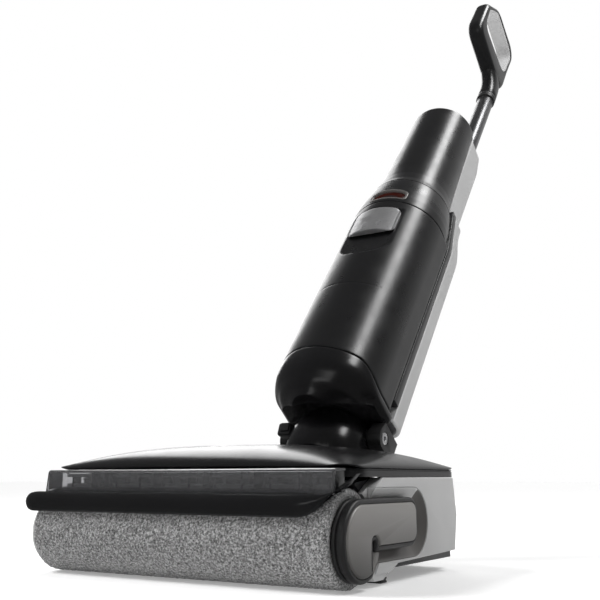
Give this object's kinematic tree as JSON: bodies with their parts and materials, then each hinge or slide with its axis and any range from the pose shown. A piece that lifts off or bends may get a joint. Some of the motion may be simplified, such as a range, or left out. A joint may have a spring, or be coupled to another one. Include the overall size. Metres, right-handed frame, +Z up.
{
  "type": "wet dry floor scrubber",
  "caption": "Upright wet and dry floor washer: driven roller head, tilting and swivelling body with removable clean and dirty water tanks, tube and loop handle.",
  "frame": {"origin": "on the floor, in the middle of the footprint of the machine as it leans back in use", "axes": "+X to the machine's right seen from the front, front faces -Y, +Z up"},
  "size_m": [0.292, 0.8734, 0.8548],
  "materials": {
    "gloss_black": "gloss",
    "smoked": "clear smoked",
    "body_black": "satin",
    "frame_black": "satin",
    "side_gray": "matt",
    "cap_gray": "satin",
    "tank_gray": "matt",
    "soft_rubber": "matt",
    "tyre_rubber": "matt",
    "inner_plastic": "moulded",
    "steel": "brushed",
    "motor_steel": "drawn can",
    "tube_metal": "anodised dark gray",
    "silver_button": "satin",
    "copper": "gloss copper tint",
    "battery_wrap": "shrink wrap",
    "board_green": "lacquered",
    "filter_white": "pleated",
    "roller_pile": "short dense pile, salt and pepper"
  },
  "bodies": {
    "floor_head": {"head_chassis": "frame_black", "head_dome": "gloss_black", "side_panel_left": "side_gray", "side_panel_right": "side_gray", "suction_duct": "inner_plastic", "scraper_bar": "steel", "squeegee_strip": "soft_rubber", "spray_bar": "steel", "rear_axle": "steel", "head_screws": "steel", "drive_motor": "motor_steel", "drive_gearbox": "inner_plastic", "charging_contacts": "copper"},
    "drive_coupler": {"drive_coupler": "inner_plastic"},
    "wheel_left": {"wheel_hub_left": "inner_plastic", "wheel_tyre_left": "tyre_rubber"},
    "wheel_right": {"wheel_hub_right": "inner_plastic", "wheel_tyre_right": "tyre_rubber"},
    "front_cover": {"cover_window": "smoked", "hood_bar": "gloss_black"},
    "end_cap": {"cap_rim": "frame_black", "cap_panel": "cap_gray", "cap_spindle": "steel"},
    "roller": {"roller_core": "inner_plastic", "roller_pile": "roller_pile"},
    "tilt_knuckle": {"knuckle_bell": "frame_black", "knuckle_yoke": "frame_black", "pivot_screws": "steel", "joint_hose": "soft_rubber"},
    "main_body": {"lower_housing": "gloss_black", "spine_frame": "body_black", "upper_housing": "body_black", "neck_shell": "body_black", "display_lens": "gloss_black", "slot_bezel": "tank_gray", "slot_lens": "copper", "suction_motor": "motor_steel", "battery_pack": "battery_wrap", "main_board": "board_green", "water_pump": "inner_plastic", "rear_cover": "tank_gray", "handle_tube": "tube_metal", "collar_ring": "frame_black", "handle_shell": "body_black", "handle_grip": "tank_gray"},
    "impeller": {"impeller": "inner_plastic"},
    "power_button": {"power_button": "silver_button"},
    "mode_button": {"mode_button": "silver_button"},
    "self_clean_button": {"self_clean_button": "silver_button"},
    "dirty_tank": {"dirty_tank_shell": "body_black", "tank_lid": "inner_plastic", "tank_inlet_pipe": "smoked", "filter_cartridge": "filter_white", "lid_seal": "soft_rubber"},
    "tank_float": {"tank_float": "inner_plastic"},
    "tank_release": {"tank_release_button": "silver_button"},
    "clean_tank": {"clean_tank_shell": "tank_gray"},
    "fill_cap": {"fill_cap": "soft_rubber"}
  },
  "joints": [
    {"name": "body_tilt", "type": "hinge", "parent": "floor_head", "child": "tilt_knuckle", "pos_m": [0, -0.18363, 0.11], "axis": [1, 0, 0], "range_deg": [-50, 39]},
    {"name": "body_swivel", "type": "hinge", "parent": "tilt_knuckle", "child": "main_body", "pos_m": [0, -0.17033, 0.12625], "axis": [0, 0.6334, 0.7738], "range_deg": [-45, 45]},
    {"name": "wheel_left_roll", "type": "hinge", "parent": "floor_head", "child": "wheel_left", "pos_m": [-0.069, -0.18623, 0.02], "axis": [1, 0, 0], "continuous": true},
    {"name": "wheel_right_roll", "type": "hinge", "parent": "floor_head", "child": "wheel_right", "pos_m": [0.069, -0.18623, 0.02], "axis": [1, 0, 0], "continuous": true},
    {"name": "front_cover_slide", "type": "slide", "parent": "floor_head", "child": "front_cover", "axis": [0, -1, 0], "range_m": [0, 0.07]},
    {"name": "end_cap_slide", "type": "slide", "parent": "floor_head", "child": "end_cap", "axis": [1, 0, 0], "range_m": [0, 0.285]},
    {"name": "roller_spin", "type": "hinge", "parent": "end_cap", "child": "roller", "pos_m": [0, -0.40023, 0.0335], "axis": [1, 0, 0], "continuous": true},
    {"name": "drive_coupler_spin", "type": "hinge", "parent": "floor_head", "child": "drive_coupler", "pos_m": [-0.042, -0.40023, 0.0335], "axis": [1, 0, 0], "continuous": true},
    {"name": "impeller_spin", "type": "hinge", "parent": "main_body", "child": "impeller", "pos_m": [0, 0.0318, 0.42215], "axis": [0, 0.6334, 0.7738], "continuous": true},
    {"name": "dirty_tank_slide", "type": "slide", "parent": "main_body", "child": "dirty_tank", "axis": [0, -0.7738, 0.6334], "range_m": [0, 0.13]},
    {"name": "tank_release_press", "type": "slide", "parent": "dirty_tank", "child": "tank_release", "axis": [0, 0.7738, -0.6334], "range_m": [0, 0.002], "stiffness_N_per_m": 700, "springref_m": -0.0006},
    {"name": "tank_float_rise", "type": "slide", "parent": "dirty_tank", "child": "tank_float", "axis": [0, 0.6334, 0.7738], "range_m": [0, 0.08]},
    {"name": "clean_tank_slide", "type": "slide", "parent": "main_body", "child": "clean_tank", "axis": [0, 0.7738, -0.6334], "range_m": [0, 0.1]},
    {"name": "fill_cap_pull", "type": "slide", "parent": "clean_tank", "child": "fill_cap", "axis": [0, 0.7738, -0.6334], "range_m": [0, 0.025]},
    {"name": "power_button_press", "type": "slide", "parent": "main_body", "child": "power_button", "axis": [0, -0.6334, -0.7738], "range_m": [0, 0.0012], "stiffness_N_per_m": 900, "springref_m": -0.0005},
    {"name": "mode_button_press", "type": "slide", "parent": "main_body", "child": "mode_button", "axis": [0, -0.6334, -0.7738], "range_m": [0, 0.0012], "stiffness_N_per_m": 900, "springref_m": -0.0005},
    {"name": "self_clean_button_press", "type": "slide", "parent": "main_body", "child": "self_clean_button", "axis": [0, -0.6334, -0.7738], "range_m": [0, 0.0012], "stiffness_N_per_m": 900, "springref_m": -0.0005}
  ],
  "couplings": [
    {"joint": "drive_coupler_spin", "follows": "roller_spin", "ratio": 1}
  ]
}
